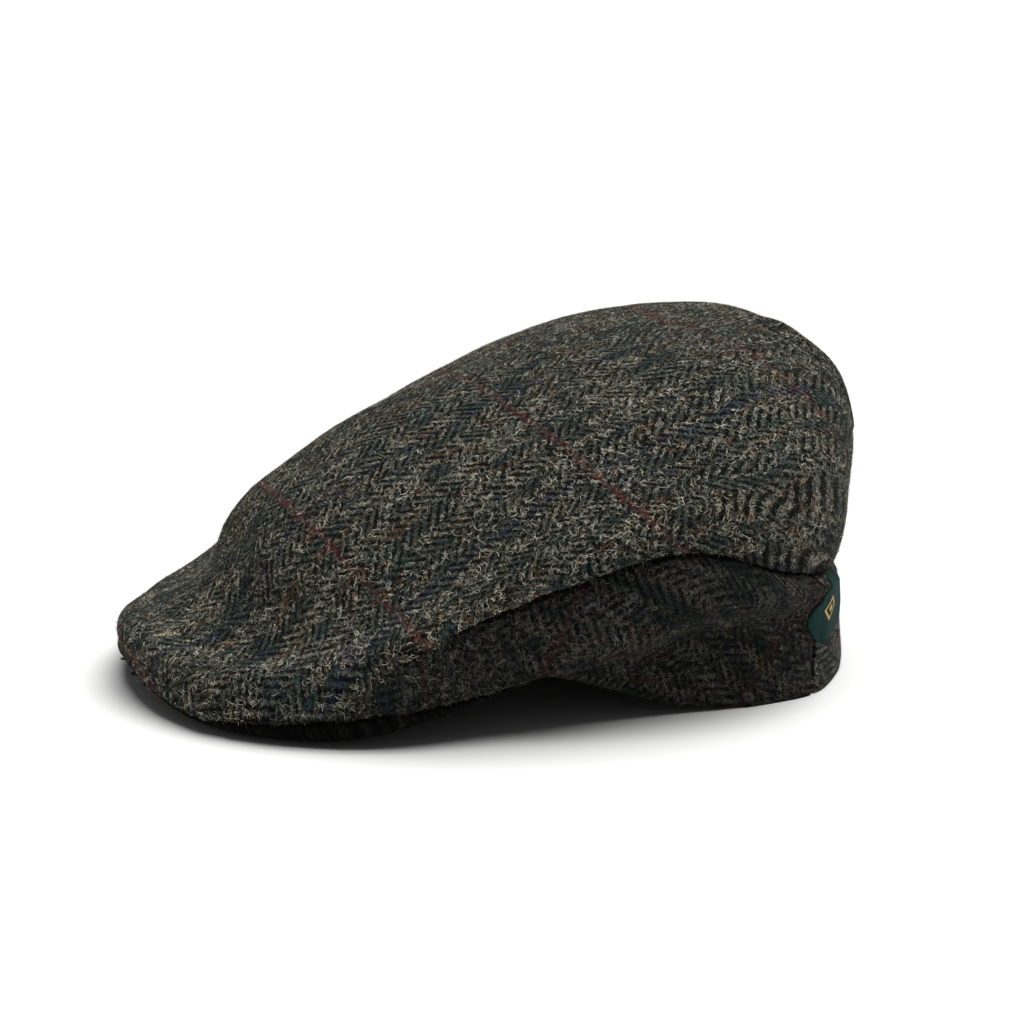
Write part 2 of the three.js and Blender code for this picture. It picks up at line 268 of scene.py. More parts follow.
# Cloth coordinates
def centre_samples(count=600):
    """The crown's centre line, sampled evenly and smoothed: run, y, z and tilt."""
    table = np.array(CENTRE_LINE)
    step = np.hypot(*np.diff(table[:, :2], axis=0).T)
    run = np.concatenate([[0], np.cumsum(step)])
    at = np.linspace(0, run[-1], count)
    y = np.interp(at, run, table[:, 0])
    z = np.interp(at, run, table[:, 1])
    tilt = np.radians(np.interp(at, run, table[:, 2]))
    for _ in range(30):
        for row in (y, z, tilt):
            row[1:-1] = (row[:-2] + 2 * row[1:-1] + row[2:]) / 4
    return at, y, z, tilt


def crown_uv(points):
    """Cloth coordinates on the top panel: across from the middle line and along from the peak."""
    at, cy, cz, tilt = centre_samples()
    ny, nz = np.cos(tilt), np.sin(tilt)
    along = np.empty(len(points))
    rise = np.empty(len(points))
    batch = 4000
    for first in range(0, len(points), batch):
        part = points[first:first + batch]
        away = (part[:, 1:2] - cy) * ny + (part[:, 2:3] - cz) * nz
        reach = np.hypot(part[:, 1:2] - cy, part[:, 2:3] - cz)
        best = (np.abs(away) + 0.12 * reach).argmin(1)
        low = np.clip(best - 1, 0, len(at) - 2)
        rows = np.arange(len(part))
        a, b = away[rows, low], away[rows, low + 1]
        share = np.clip(a / np.where(np.abs(a - b) < 1e-9, 1e-9, a - b), 0, 2)
        along[first:first + batch] = at[low] + share * (at[1] - at[0])
        rise[first:first + batch] = reach[rows, best]
    x = points[:, 0]
    across = np.sign(x) * (np.hypot(x, 0.92 * rise) + 0.06 * rise)
    along = along - at[np.abs(cy + 0.011).argmin()]
    across = across * (1 + 0.2 * np.clip((along - 0.045) / 0.05, 0, 1.25))
    # Low on the sides the cloth hangs straight down, so its threads are counted along the drop
    beyond = np.maximum(np.abs(across) - 0.088, 0)
    across = across + np.sign(across) * 0.5 * beyond ** 2 / (beyond + 0.010)
    along = along - 0.13 * np.abs(across) * ease(0.03, 0.075, along)
    return np.stack([across, along], 1)


def band_uv(points):
    """Cloth coordinates on a side or back panel: along from the front, and down from the seam."""
    rows = np.array(BAND_LINES) * 0.001
    turns = rows[:, 0] * 1000
    fine = np.linspace(0, 180, 361)
    seam_r = np.interp(fine, turns, rows[:, 1])
    seam_z = np.interp(fine, turns, rows[:, 2])
    step = np.hypot(np.hypot(np.diff(seam_r), seam_r[1:] * np.radians(0.5)), np.diff(seam_z))
    run = np.concatenate([[0], np.cumsum(step)])
    turn = turn_of(points)
    along = np.interp(turn, fine, run)
    lines = [np.interp(turn, turns, rows[:, k]) for k in range(1, 9)]
    r = np.hypot(points[:, 0], points[:, 1] - CENTRE_Y)
    z = points[:, 2]
    best = np.full(len(points), 9.0)
    down = np.zeros(len(points))
    passed = np.zeros(len(points))
    for k in range(3):
        r0, z0, r1, z1 = lines[2 * k:2 * k + 4]
        length = np.hypot(r1 - r0, z1 - z0) + 1e-9
        share = np.clip(((r - r0) * (r1 - r0) + (z - z0) * (z1 - z0)) / length ** 2, 0, 1)
        gap = np.hypot(r - r0 - share * (r1 - r0), z - z0 - share * (z1 - z0))
        nearer = gap < best
        best = np.where(nearer, gap, best)
        down = np.where(nearer, passed + share * length, down)
        passed = passed + length
    # The strips are cut with their long threads along them, a little off the straight
    slant = math.radians(30)
    ahead = along - 0.1375
    u = down * math.cos(slant) - ahead * math.sin(slant) - 0.0035
    v = 0.883 * (ahead * math.cos(slant) + down * math.sin(slant)) + 0.0382
    return np.stack([u * np.where(points[:, 0] < 0, -1.0, 1.0), v], 1)


def side_uv(points):
    """A side panel's cloth coordinates, eased into the top panel's where the two run together."""
    turn = turn_of(points)
    own, shared = band_uv(points), crown_uv(points)
    return own + (shared - own) * (1 - ease(46, 64, turn))[:, None]


# Shaders
class Bench:
    """Places shader nodes in a tree and wires them."""

    def __init__(self, tree):
        self.tree = tree

    def put(self, kind, **settings):
        node = self.tree.nodes.new(kind)
        for key, value in settings.items():
            setattr(node, key, value)
        return node

    def wire(self, value, socket):
        if isinstance(value, bpy.types.NodeSocket):
            self.tree.links.new(value, socket)
        elif value is not None:
            socket.default_value = value

    def sum(self, operation, a, b=None, c=None, clamp=False):
        node = self.put("ShaderNodeMath", operation=operation, use_clamp=clamp)
        for value, socket in zip((a, b, c), node.inputs):
            self.wire(value, socket)
        return node.outputs[0]

    def mix(self, share, a, b, blend="MIX"):
        node = self.put("ShaderNodeMix", data_type="RGBA", blend_type=blend)
        self.wire(share, node.inputs["Factor"])
        self.wire(a, node.inputs[6])
        self.wire(b, node.inputs[7])
        return node.outputs[2]

    def between(self, share, a, b):
        node = self.put("ShaderNodeMix", data_type="FLOAT")
        self.wire(share, node.inputs["Factor"])
        self.wire(a, node.inputs[2])
        self.wire(b, node.inputs[3])
        return node.outputs[0]

    def grain(self, place, scale, detail=2.0, roughness=0.5, distortion=0.0):
        node = self.put("ShaderNodeTexNoise")
        self.wire(place, node.inputs["Vector"])
        node.inputs["Scale"].default_value = scale
        node.inputs["Detail"].default_value = detail
        node.inputs["Roughness"].default_value = roughness
        node.inputs["Distortion"].default_value = distortion
        return node

    def ramp(self, value, stops, kind="LINEAR"):
        node = self.put("ShaderNodeValToRGB")
        node.color_ramp.interpolation = kind
        while len(node.color_ramp.elements) < len(stops):
            node.color_ramp.elements.new(0.5)
        for element, (at, colour) in zip(node.color_ramp.elements, stops):
            element.position = at
            element.color = (*colour, 1)
        self.wire(value, node.inputs[0])
        return node.outputs[0]

    def around_one(self, value, reach):
        """A noise round a half, spread by reach round one."""
        return self.sum("MULTIPLY_ADD", self.sum("SUBTRACT", value, 0.5), reach, 1.0)

    def shaded(self, colour, shade):
        return self.mix(1.0, colour, self.join(shade, shade, shade), "MULTIPLY")

    def bump(self, height, strength, distance):
        node = self.put("ShaderNodeBump")
        node.inputs["Strength"].default_value = strength
        node.inputs["Distance"].default_value = distance
        self.wire(height, node.inputs["Height"])
        return node.outputs[0]

    def join(self, x, y, z=0.0):
        node = self.put("ShaderNodeCombineXYZ")
        for value, socket in zip((x, y, z), node.inputs):
            self.wire(value, socket)
        return node.outputs[0]

    def split(self, vector):
        node = self.put("ShaderNodeSeparateXYZ")
        self.wire(vector, node.inputs[0])
        return node.outputs


def new_group(name, inputs, outputs):
    tree = bpy.data.node_groups.new(name, "ShaderNodeTree")
    for label, kind, value in inputs:
        socket = tree.interface.new_socket(label, in_out="INPUT", socket_type="NodeSocket" + kind)
        if value is not None:
            socket.default_value = value
    for label, kind in outputs:
        tree.interface.new_socket(label, in_out="OUTPUT", socket_type="NodeSocket" + kind)
    bench = Bench(tree)
    return tree, bench, bench.put("NodeGroupInput").outputs, bench.put("NodeGroupOutput").inputs


def herringbone_group():
    """Two over two twill that turns back after each column of long threads."""
    tree, b, given, out = new_group(
        "herringbone",
        [("Cloth", "Vector", None)],
        [("Long Over", "Float"), ("Height", "Float"), ("Long Row", "Float"), ("Cross Row", "Float")],
    )
    u, v, _ = b.split(given["Cloth"])
    across = b.sum("DIVIDE", u, THREAD)
    along = b.sum("DIVIDE", v, THREAD)
    i, j = b.sum("FLOOR", across), b.sum("FLOOR", along)
    a, c = b.sum("FRACT", across), b.sum("FRACT", along)
    column = b.sum("FLOOR", b.sum("DIVIDE", i, COLUMN))
    odd = b.sum("FLOORED_MODULO", column, 2.0)
    k = b.sum("FLOORED_MODULO", i, COLUMN)
    lean = b.between(odd, k, b.sum("SUBTRACT", COLUMN - 1, k))
    start = b.sum("ADD", b.sum("ADD", j, lean), b.sum("MULTIPLY", odd, 2.0))
    phase = b.sum("FLOORED_MODULO", start, 4.0)
    over = b.sum("LESS_THAN", phase, 1.5)
    long_at = b.sum("DIVIDE", b.sum("ADD", phase, c), 2.0)
    cross_even = b.sum("DIVIDE", b.sum("ADD", b.sum("SUBTRACT", phase, 2.0), a), 2.0)
    cross_odd = b.sum("DIVIDE", b.sum("ADD", b.sum("SUBTRACT", 3.0, phase), a), 2.0)
    cross_at = b.between(odd, cross_even, cross_odd)

    def hump(side, length):
        round_side = b.sum("SINE", b.sum("MULTIPLY", side, math.pi))
        round_length = b.sum("SINE", b.sum("MULTIPLY", length, math.pi))
        crest = b.sum("MULTIPLY_ADD", round_length, 0.65, 0.35)
        return b.sum("MULTIPLY", b.sum("POWER", round_side, 0.6), crest)

    height = b.between(over, hump(c, cross_at), hump(a, long_at))
    b.wire(over, out["Long Over"])
    b.wire(height, out["Height"])
    b.wire(i, out["Long Row"])
    b.wire(j, out["Cross Row"])
    return tree


def tweed_group(weave):
    """Wool tweed: herringbone in mixed greys and greens under a faint navy and rust windowpane."""
    tree, b, given, out = new_group(
        "tweed",
        [("Cloth", "Vector", None), ("Depth", "Float", 1.0), ("Windowpane", "Float", 1.0)],
        [("Color", "Color"), ("Height", "Float")],
    )
    plain = given["Cloth"]
    plain_u, plain_v, _ = b.split(plain)
    # The threads wander broadly and finely from their straight lines
    wobble = b.grain(plain, 26.0, 1.0)
    ruffle = b.grain(plain, 620.0, 2.0, 0.6)
    cloth = plain
    for blur, reach in ((wobble, 0.006), (ruffle, 0.0013)):
        centred = b.put("ShaderNodeVectorMath", operation="SUBTRACT")
        b.wire(blur.outputs["Color"], centred.inputs[0])
        centred.inputs[1].default_value = (0.5, 0.5, 0.5)
        pushed = b.put("ShaderNodeVectorMath", operation="MULTIPLY_ADD")
        b.wire(centred.outputs[0], pushed.inputs[0])
        pushed.inputs[1].default_value = (reach, reach, 0.0)
        b.wire(cloth, pushed.inputs[2])
        cloth = pushed.outputs[0]

    threads = b.put("ShaderNodeGroup", node_tree=weave)
    b.wire(cloth, threads.inputs["Cloth"])
    over = threads.outputs["Long Over"]
    u, v, _ = b.split(cloth)

    # Each thread has its own mix of wools, which changes slowly along it
    long_row = b.sum("MULTIPLY", threads.outputs["Long Row"], 3.71)
    cross_row = b.sum("MULTIPLY", threads.outputs["Cross Row"], 5.23)
    long_place = b.join(long_row, b.sum("MULTIPLY", v, 150.0))
    cross_place = b.join(b.sum("MULTIPLY", u, 150.0), cross_row, 7.0)
    long_mix = b.grain(long_place, 1.0, 2.0, 0.6).outputs["Fac"]
    cross_mix = b.grain(cross_place, 1.0, 2.0, 0.6).outputs["Fac"]
    long_colour = b.ramp(long_mix, [
        (0.25, (0.006, 0.0075, 0.006)), (0.45, (0.017, 0.0195, 0.0155)), (0.60, (0.036, 0.038, 0.029)),
        (0.75, (0.062, 0.062, 0.047)), (0.85, (0.032, 0.022, 0.014)),
    ])
    cross_colour = b.ramp(cross_mix, [
        (0.25, (0.0015, 0.002, 0.002)), (0.45, (0.003, 0.0045, 0.004)), (0.58, (0.006, 0.007, 0.006)),
        (0.70, (0.003, 0.009, 0.010)), (0.85, (0.010, 0.007, 0.005)),
    ])

    # Windowpane: a few navy long threads and rust cross threads in each repeat
    def line(at, start, spacing, half):
        shifted = b.sum("DIVIDE", b.sum("SUBTRACT", at, start), spacing)
        place = b.sum("FRACT", b.sum("ADD", shifted, 0.5))
        centred = b.sum("ABSOLUTE", b.sum("SUBTRACT", place, 0.5))
        edge = b.sum("SUBTRACT", half, b.sum("MULTIPLY", centred, spacing))
        return b.sum("MULTIPLY", b.sum("MULTIPLY", edge, 3500.0, clamp=True), given["Windowpane"])

    navy = line(u, NAVY_START, NAVY_SPACING, 0.0014)
    rust = line(v, RUST_START, RUST_SPACING, 0.0012)
    long_colour = b.mix(b.sum("MULTIPLY", navy, 0.6), long_colour, (0.012, 0.017, 0.055, 1))
    cross_colour = b.mix(b.sum("MULTIPLY", rust, 0.6), cross_colour, (0.130, 0.022, 0.022, 1))
    colour = b.mix(over, cross_colour, long_colour)

    # Curled wool over the yarns: narrow bands round the middle level of a noise
    tone_place = b.join(b.sum("MULTIPLY", plain_u, 520.0), b.sum("MULTIPLY", plain_v, 130.0))
    tone = b.grain(tone_place, 1.0, 2.0, 0.7).outputs["Fac"]
    curl_colour = b.ramp(tone, [
        (0.28, (0.020, 0.066, 0.068)), (0.37, (0.050, 0.064, 0.050)), (0.47, (0.125, 0.130, 0.105)),
        (0.56, (0.280, 0.275, 0.220)), (0.64, (0.190, 0.145, 0.075)), (0.73, (0.110, 0.050, 0.034)),
    ])
    relief = b.sum("MULTIPLY", threads.outputs["Height"], 0.6)
    share = b.sum("MULTIPLY_ADD", over, 0.72, 0.12)
    for scale, width, twist in ((900.0, 0.045, 0.8), (1250.0, 0.050, 1.2)):
        level = b.grain(plain, scale, 1.0, 0.5, twist).outputs["Fac"]
        off = b.sum("ABSOLUTE", b.sum("SUBTRACT", level, 0.5))
        band = b.sum("SUBTRACT", 1.0, b.sum("DIVIDE", off, width), clamp=True)
        colour = b.mix(b.sum("MULTIPLY", band, share), colour, curl_colour)
        relief = b.sum("MULTIPLY_ADD", band, 0.5, relief)

    fibre = b.grain(plain, 2400.0, 3.0, 0.7, 1.6).outputs["Fac"]
    colour = b.shaded(colour, b.around_one(fibre, 3.0))
    # A broad mottle, times the group's darkening input: the cloth's own tone on the crown and back,
    # painted shade on the side panels and peak
    patch = b.grain(plain, 60.0, 2.0).outputs["Fac"]
    broad = b.sum("MULTIPLY", b.around_one(patch, 0.8), given["Depth"])
    b.wire(b.shaded(colour, broad), out["Color"])
    b.wire(b.sum("MULTIPLY_ADD", fibre, 0.5, relief), out["Height"])
    return tree


def fresh_material(name, roughness, specular):
    """A new material, its bench and the inputs of its shader."""
    material = bpy.data.materials.new(name)
    material.use_nodes = True
    material.node_tree.nodes.clear()
    b = Bench(material.node_tree)
    shader = b.put("ShaderNodeBsdfPrincipled")
    finish = b.put("ShaderNodeOutputMaterial")
    b.wire(shader.outputs[0], finish.inputs["Surface"])
    shader.inputs["Roughness"].default_value = roughness
    shader.inputs["Specular IOR Level"].default_value = specular
    return material, b, shader.inputs


def cloth_material(name, tweed, tone_and_shade, bump=1.0, windowpane=1.0):
    material, b, skin = fresh_material(name, roughness=0.95, specular=0.06)
    cloth = b.put("ShaderNodeUVMap", uv_map="cloth")
    group = b.put("ShaderNodeGroup", node_tree=tweed)
    b.wire(cloth.outputs[0], group.inputs["Cloth"])
    group.inputs["Depth"].default_value = tone_and_shade
    group.inputs["Windowpane"].default_value = windowpane
    b.wire(group.outputs["Color"], skin["Base Color"])
    b.wire(b.bump(group.outputs["Height"], 0.85, 0.0007 * bump), skin["Normal"])
    return material


def fuzz_material():
    material, b, skin = fresh_material("wool_fuzz", roughness=0.8, specular=0.2)
    yarn = b.put("ShaderNodeAttribute", attribute_name="yarn")
    place = b.put("ShaderNodeTexCoord")
    mottle = b.grain(place.outputs["Object"], 1500.0, 1.0).outputs["Fac"]
    b.wire(b.shaded(yarn.outputs["Color"], b.around_one(mottle, 1.2)), skin["Base Color"])
    return material


def label_material():
    material, b, skin = fresh_material("label_weave", roughness=0.85, specular=0.12)
    cloth = b.put("ShaderNodeUVMap", uv_map="cloth")
    u, v, _ = b.split(cloth.outputs[0])
    rib = b.sum("SINE", b.sum("MULTIPLY", u, 2 * math.pi / 0.00055))
    pick = b.sum("SINE", b.sum("MULTIPLY", v, 2 * math.pi / 0.0004))
    weave = b.sum("MULTIPLY", b.sum("ADD", rib, pick), 0.25)
    # A plain lozenge in gold thread
    far_u = b.sum("ABSOLUTE", b.sum("SUBTRACT", u, 0.0088))
    far_v = b.sum("ABSOLUTE", b.sum("SUBTRACT", v, 0.013))
    far = b.sum("ADD", far_u, far_v)
    ring = b.sum("LESS_THAN", b.sum("ABSOLUTE", b.sum("SUBTRACT", far, 0.0042)), 0.0006)
    dot = b.sum("LESS_THAN", far, 0.0015)
    gold = b.sum("MAXIMUM", ring, dot)
    mottle = b.grain(cloth.outputs[0], 900.0, 2.0).outputs["Fac"]
    green = b.ramp(b.sum("ADD", mottle, b.sum("MULTIPLY", weave, 0.3)), [
        (0.3, (0.002, 0.014, 0.013)), (0.7, (0.005, 0.034, 0.030)),
    ])
    b.wire(b.mix(gold, green, (0.55, 0.36, 0.12, 1)), skin["Base Color"])
    height = b.sum("ADD", weave, b.sum("MULTIPLY", gold, 2.0))
    b.wire(b.bump(height, 0.6, 0.0002), skin["Normal"])
    return material


# Cloth pieces
def lumps(points, size, seed):
    """A soft noise over the points, in lumps of about the given size."""
    offset = Vector((seed * 3.1, seed * 1.7, seed * 5.3))
    return np.array([noise.noise(Vector(p) / size + offset) for p in points])


def shape_crown(points, normal):
    """Soft lumps, puckers over the side seams and the crease behind the crown."""
    turn = turn_of(points)
    above = points[:, 2] - seam_of(turn)[1]
    push = 0.0005 * lumps(points, 0.028, 1) + 0.00025 * lumps(points, 0.011, 2)
    pucker = np.exp(-(above / 0.009) ** 2) * ease(25, 45, turn)
    push += 0.0007 * pucker * lumps(points * [1, 1, 0.25], 0.010, 3)
    # The crease is a valley with a soft roll on its outer side
    bend = np.array(CREASE) * 0.001
    apart, outer_side = np.full(len(points), 9.0), np.zeros(len(points))
    for start, end in zip(bend[:-1], bend[1:]):
        step, offset = end - start, points[:, :2] - start
        share = np.clip(offset @ step / (step @ step), 0, 1)
        away = np.linalg.norm(offset - share[:, None] * step, axis=1)
        side = np.sign(step[1] * offset[:, 0] - step[0] * offset[:, 1])
        outer_side = np.where(away < apart, side, outer_side)
        apart = np.minimum(away, apart)
    across = apart * outer_side / 0.0030
    share = ease(0.004, 0.022, points[:, 0]) * (points[:, 2] > 0.085)
    valley = -0.0015 * np.exp(-across ** 2)
    roll = 0.0010 * np.exp(-((across + 2.2) / 1.6) ** 2)
    push += share * (valley + roll)
    return points + normal * push[:, None]


def shape_band(points, normal, seed):
    """Soft lumps and the groove along the upright rear seam, fading out at the hem."""
    push = 0.0004 * lumps(points, 0.022, seed) + 0.0002 * lumps(points, 0.009, seed + 1)
    push -= 0.0009 * np.exp(-((turn_of(points) - LABEL_TURN) / 1.0) ** 2)
    floor = ease(0.0, 0.006, points[:, 2])
    return points + normal * (push * floor)[:, None]


def rib_lean(uv):
    """Where the light long threads lie on top in the herringbone, and which way the ribs lean."""
    i, j = np.floor(uv[:, 0] / THREAD), np.floor(uv[:, 1] / THREAD)
    odd = np.floor(i / COLUMN) % 2
    k = i % COLUMN
    over = (j + np.where(odd > 0, COLUMN - 1 - k, k) + 2 * odd) % 4 < 1.5
    return over, np.where(odd > 0, 1.0, -1.0)


def yarn_noise(uv, wide, long, seed):
    """A smooth chance from 0 to 1 that runs in streaks along the threads."""
    lattice = np.random.default_rng(seed).random((256, 256))
    x, y = uv[:, 0] / wide, uv[:, 1] / long
    i, j = np.floor(x).astype(int), np.floor(y).astype(int)
    a, b = x - i, y - j
    a, b = a * a * (3 - 2 * a), b * b * (3 - 2 * b)
    near = lattice[i % 256, j % 256] * (1 - a) + lattice[(i + 1) % 256, j % 256] * a
    far = lattice[i % 256, (j + 1) % 256] * (1 - a) + lattice[(i + 1) % 256, (j + 1) % 256] * a
    return near * (1 - b) + far * b


def near_line(at, start, spacing, half):
    """Whether a cloth coordinate lies within half of one of the windowpane's lines."""
    return np.abs((at - start + spacing / 2) % spacing - spacing / 2) < half


def rooted(base, number, rng):
    """Roots spread over the outer face: point, normal, cloth place and the two thread directions."""
    mesh = base.data
    points, normal = places(mesh), facings(mesh)
    mesh.calc_loop_triangles()
    corner = np.empty(len(mesh.loop_triangles) * 3, dtype=np.int32)
    loop = np.empty(len(mesh.loop_triangles) * 3, dtype=np.int32)
    mesh.loop_triangles.foreach_get("vertices", corner)
    mesh.loop_triangles.foreach_get("loops", loop)
    flat_uv = np.empty(len(mesh.loops) * 2)
    mesh.uv_layers[0].data.foreach_get("uv", flat_uv)
    corner, uv = corner.reshape(-1, 3), flat_uv.reshape(-1, 2)[loop].reshape(-1, 3, 2)
    a, b, c = (points[corner[:, k]] for k in range(3))
    flat = np.cross(b - a, c - a)
    area = np.linalg.norm(flat, axis=1)
    seen = outward((a + b + c) / 3, flat / np.maximum(area, 1e-12)[:, None]) > OUTER
    weight = np.where(seen, area, 0)
    pick = rng.choice(len(corner), number, p=weight / weight.sum())
    share = rng.dirichlet((1, 1, 1), number)[:, :, None]
    e1, e2 = (b - a)[pick], (c - a)[pick]
    d1, d2 = (uv[:, 1] - uv[:, 0])[pick], (uv[:, 2] - uv[:, 0])[pick]
    across = e1 * d2[:, 1:] - e2 * d1[:, 1:]
    along = e2 * d1[:, :1] - e1 * d2[:, :1]
    turned = np.sign(d1[:, 0] * d2[:, 1] - d1[:, 1] * d2[:, 0])[:, None]
    tables = (points[corner[pick]], normal[corner[pick]], uv[pick])
    at, up, place = ((table * share).sum(1) for table in tables)
    return [at, up, place, across * turned, along * turned]


def outer_area(base):
    """The area of the faces that look outward."""
    return sum(
        face.area for face in base.data.polygons
        if face.normal.dot(face.center - Vector((0, INNER_SHARE * face.center.y, 0))) > OUTER
    )


def unit(vectors):
    return vectors / np.maximum(np.linalg.norm(vectors, axis=1), 1e-12)[:, None]


def wool_fuzz(bases, name, count, seed, length, lift, strength):
    """Loose fibres over the outer face of the cloth, each a narrow curled ribbon of three quads."""
    rng = np.random.default_rng(seed)
    areas = [outer_area(base) for base in bases]
    parts = [rooted(base, int(2 * count * area / sum(areas)), rng) for base, area in zip(bases, areas)]
    at, up, uv, across, along = (np.concatenate(column) for column in zip(*parts))
    over, lean = rib_lean(uv)
    # Of twice the number of roots, those on the light long threads are mostly the ones kept
    order = np.argsort(rng.random(len(at)) + np.where(over, 0.0, 0.75), kind="stable")[:count]
    kept = (column[order] for column in (at, up, uv, across, along, over, lean))
    at, up, uv, across, along, over, lean = kept
    count = len(at)
    up = unit(up)
    rib = unit(unit(across) * lean[:, None] + unit(along))
    side = unit(rib - up * (rib * up).sum(1)[:, None])
    other = np.cross(up, side)
    long = length * rng.uniform(0.5, 1.4, count)
    bend = np.sign(rng.normal(size=count)) * rng.uniform(0.2, 1.3, count)
    high = lift * rng.random(count) ** 3 + FIBRE_LIFT
    turn = rng.normal(0, 0.75, count) + math.pi * (rng.random(count) < 0.5)
    # Each fibre bows up off the cloth and curls as it runs
    steps = len(FIBRE_TAPER) - 1
    line, way = [at + up * FIBRE_ROOT], []
    for k in range(steps):
        way.append(np.cos(turn)[:, None] * side + np.sin(turn)[:, None] * other)
        at = at + way[-1] * (long / steps)[:, None]
        line.append(at + up * (high * math.sin(math.pi * (k + 1) / 3.6))[:, None])
        turn = turn + bend * rng.uniform(0.6, 1.4, count)
    way.append(way[-1])
    half = rng.uniform(*FIBRE_HALF, count)
    each = 2 * len(FIBRE_TAPER)
    verts = np.empty((count, each, 3))
    for k, taper in enumerate(FIBRE_TAPER):
        out = np.cross(up, way[k]) * (half * taper)[:, None]
        verts[:, 2 * k] = line[k] - out
        verts[:, 2 * k + 1] = line[k] + out
    verts[:, :, 2] = np.maximum(verts[:, :, 2], FIBRE_FLOOR)
    quads = np.array([0, 1, 3, 2]) + 2 * np.arange(steps)[:, None]
    faces = (quads[None] + each * np.arange(count)[:, None, None]).reshape(-1)
    made = bpy.data.meshes.new(name)
    made.vertices.add(count * each)
    made.vertices.foreach_set("co", verts.ravel())
    made.loops.add(len(faces))
    made.loops.foreach_set("vertex_index", faces.astype(np.int32))
    made.polygons.add(count * steps)
    made.polygons.foreach_set("loop_start", np.arange(0, len(faces), 4, dtype=np.int32))
    made.update(calc_edges=True)
    kind = np.clip(yarn_noise(uv, 0.0019, 0.009, 5) * 0.75 + rng.random(count) * 0.25, 0, 1)
    # The noise gathers round its middle, so it is spread out evenly again
    kind = np.argsort(np.argsort(kind)) / count
    chosen = np.searchsorted([top for top, _ in YARNS], kind, side="left")
    yarn = np.array([colour for _, colour in YARNS])[chosen]
    shade = strength * rng.uniform(0.35, 1.35, count)
    yarn = yarn * np.where(over, 1.0, UNDER_SHADE)[:, None] * shade[:, None]
    navy = near_line(uv[:, 0], NAVY_START, NAVY_SPACING, 0.0016)
    rust = near_line(uv[:, 1], RUST_START, RUST_SPACING, 0.0013)
    chance = rng.random(count)
    yarn = np.where((navy & (chance < NAVY_CHANCE))[:, None], strength * np.array(NAVY_FIBRE), yarn)
    yarn = np.where((rust & (chance < RUST_CHANCE))[:, None], strength * np.array(RUST_FIBRE), yarn)
    paint = made.color_attributes.new("yarn", "FLOAT_COLOR", "POINT")
    opaque = np.concatenate([yarn, np.ones((count, 1))], 1)
    paint.data.foreach_set("color", np.repeat(opaque, each, axis=0).ravel())
    return placed(name, made)


def thin_shell(name, grid, wall):
    """A closed shell from a grid of points, its outer face on the grid."""
    down, across = grid.shape[:2]
    face = [
        [r * across + c, r * across + c + 1, (r + 1) * across + c + 1, (r + 1) * across + c]
        for r in range(down - 1) for c in range(across - 1)
    ]
    made = bpy.data.meshes.new(name)
    made.from_pydata(grid.reshape(-1, 3).tolist(), [], face)
    made.update()
    piece = placed(name, made)
    if np.median(outward(places(made), facings(made))) < 0:
        made.flip_normals()
    applied(piece, "SOLIDIFY", thickness=wall, offset=-1)
    return piece


def surface_of(bases):
    """The faces of several pieces, to be found by rays."""
    verts, faces = [], []
    for base in bases:
        start = len(verts)
        verts += [vertex.co.copy() for vertex in base.data.vertices]
        faces += [[start + index for index in face.vertices] for face in base.data.polygons]
    return BVHTree.FromPolygons(verts, faces)


def level_way(turn):
    """The level direction outward at a turn, with the right side's turns counted negative."""
    angle = math.radians(turn)
    return Vector((math.sin(angle), -math.cos(angle), 0))


def relax(reach, rounds, own):
    """Evens out a grid inside its edge. own is the weight of a place beside its four neighbours."""
    for _ in range(rounds):
        beside = reach[:-2, 1:-1] + reach[2:, 1:-1] + reach[1:-1, :-2] + reach[1:-1, 2:]
        reach[1:-1, 1:-1] = (beside + own * reach[1:-1, 1:-1]) / (4 + own)


def patch_over(name, bases, turns, heights, lift):
    """A thin shell that follows the bases' outer face, moved off it by lift."""
    tree = surface_of(bases)
    outside, search = 0.15, 0.08
    reach = np.full(turns.shape, np.nan)
    for row, column in np.ndindex(*turns.shape):
        out = level_way(turns[row, column])
        start = Vector((0, CENTRE_Y, heights[row, column])) + out * outside
        hit = tree.ray_cast(start, -out, search)[0]
        if hit:
            reach[row, column] = outside - (start - hit).length
    # Rays that slipped through a seam are left out, and their places filled from beside or above
    reach[~(reach > np.nanmedian(reach) - 0.006)] = np.nan
    for row in range(len(reach)):
        good = ~np.isnan(reach[row])
        if good.any():
            reach[row] = np.interp(np.arange(len(good)), np.flatnonzero(good), reach[row][good])
        else:
            reach[row] = reach[row - 1]
    relax(reach, rounds=6, own=4)
    reach += lift
    angle = np.radians(turns)
    grid = np.stack([reach * np.sin(angle), CENTRE_Y - reach * np.cos(angle), heights], 2)
    return thin_shell(name, grid, THIN_WALL)


def label_patch(bases):
    """The label lies over the seam between the bases, its lower corners drawn in to a tip."""
    edges = np.array(LABEL_EDGES)
    drops = np.linspace(edges[0, 0], edges[-1, 0], 34)
    left, right = (np.interp(drops, edges[:, 0], edges[:, k]) for k in (1, 2))
    turns = left[:, None] + (right - left)[:, None] * np.linspace(0, 1, 26)[None, :]
    heights = seam_of(turns)[1] - drops[:, None] * 0.001
    return patch_over("label_cloth", bases, turns, heights, LABEL_LIFT)


def rear_seam_backing(name, bases, side):
    """The turned-in edges behind an upright rear seam."""
    wide = side * np.linspace(LABEL_TURN - 1.6, LABEL_TURN + 1.6, 9)
    turns, heights = np.meshgrid(wide, np.linspace(0.0425, 0.0006, 36))
    return patch_over(name, bases, turns, heights, BACKING_LIFT)


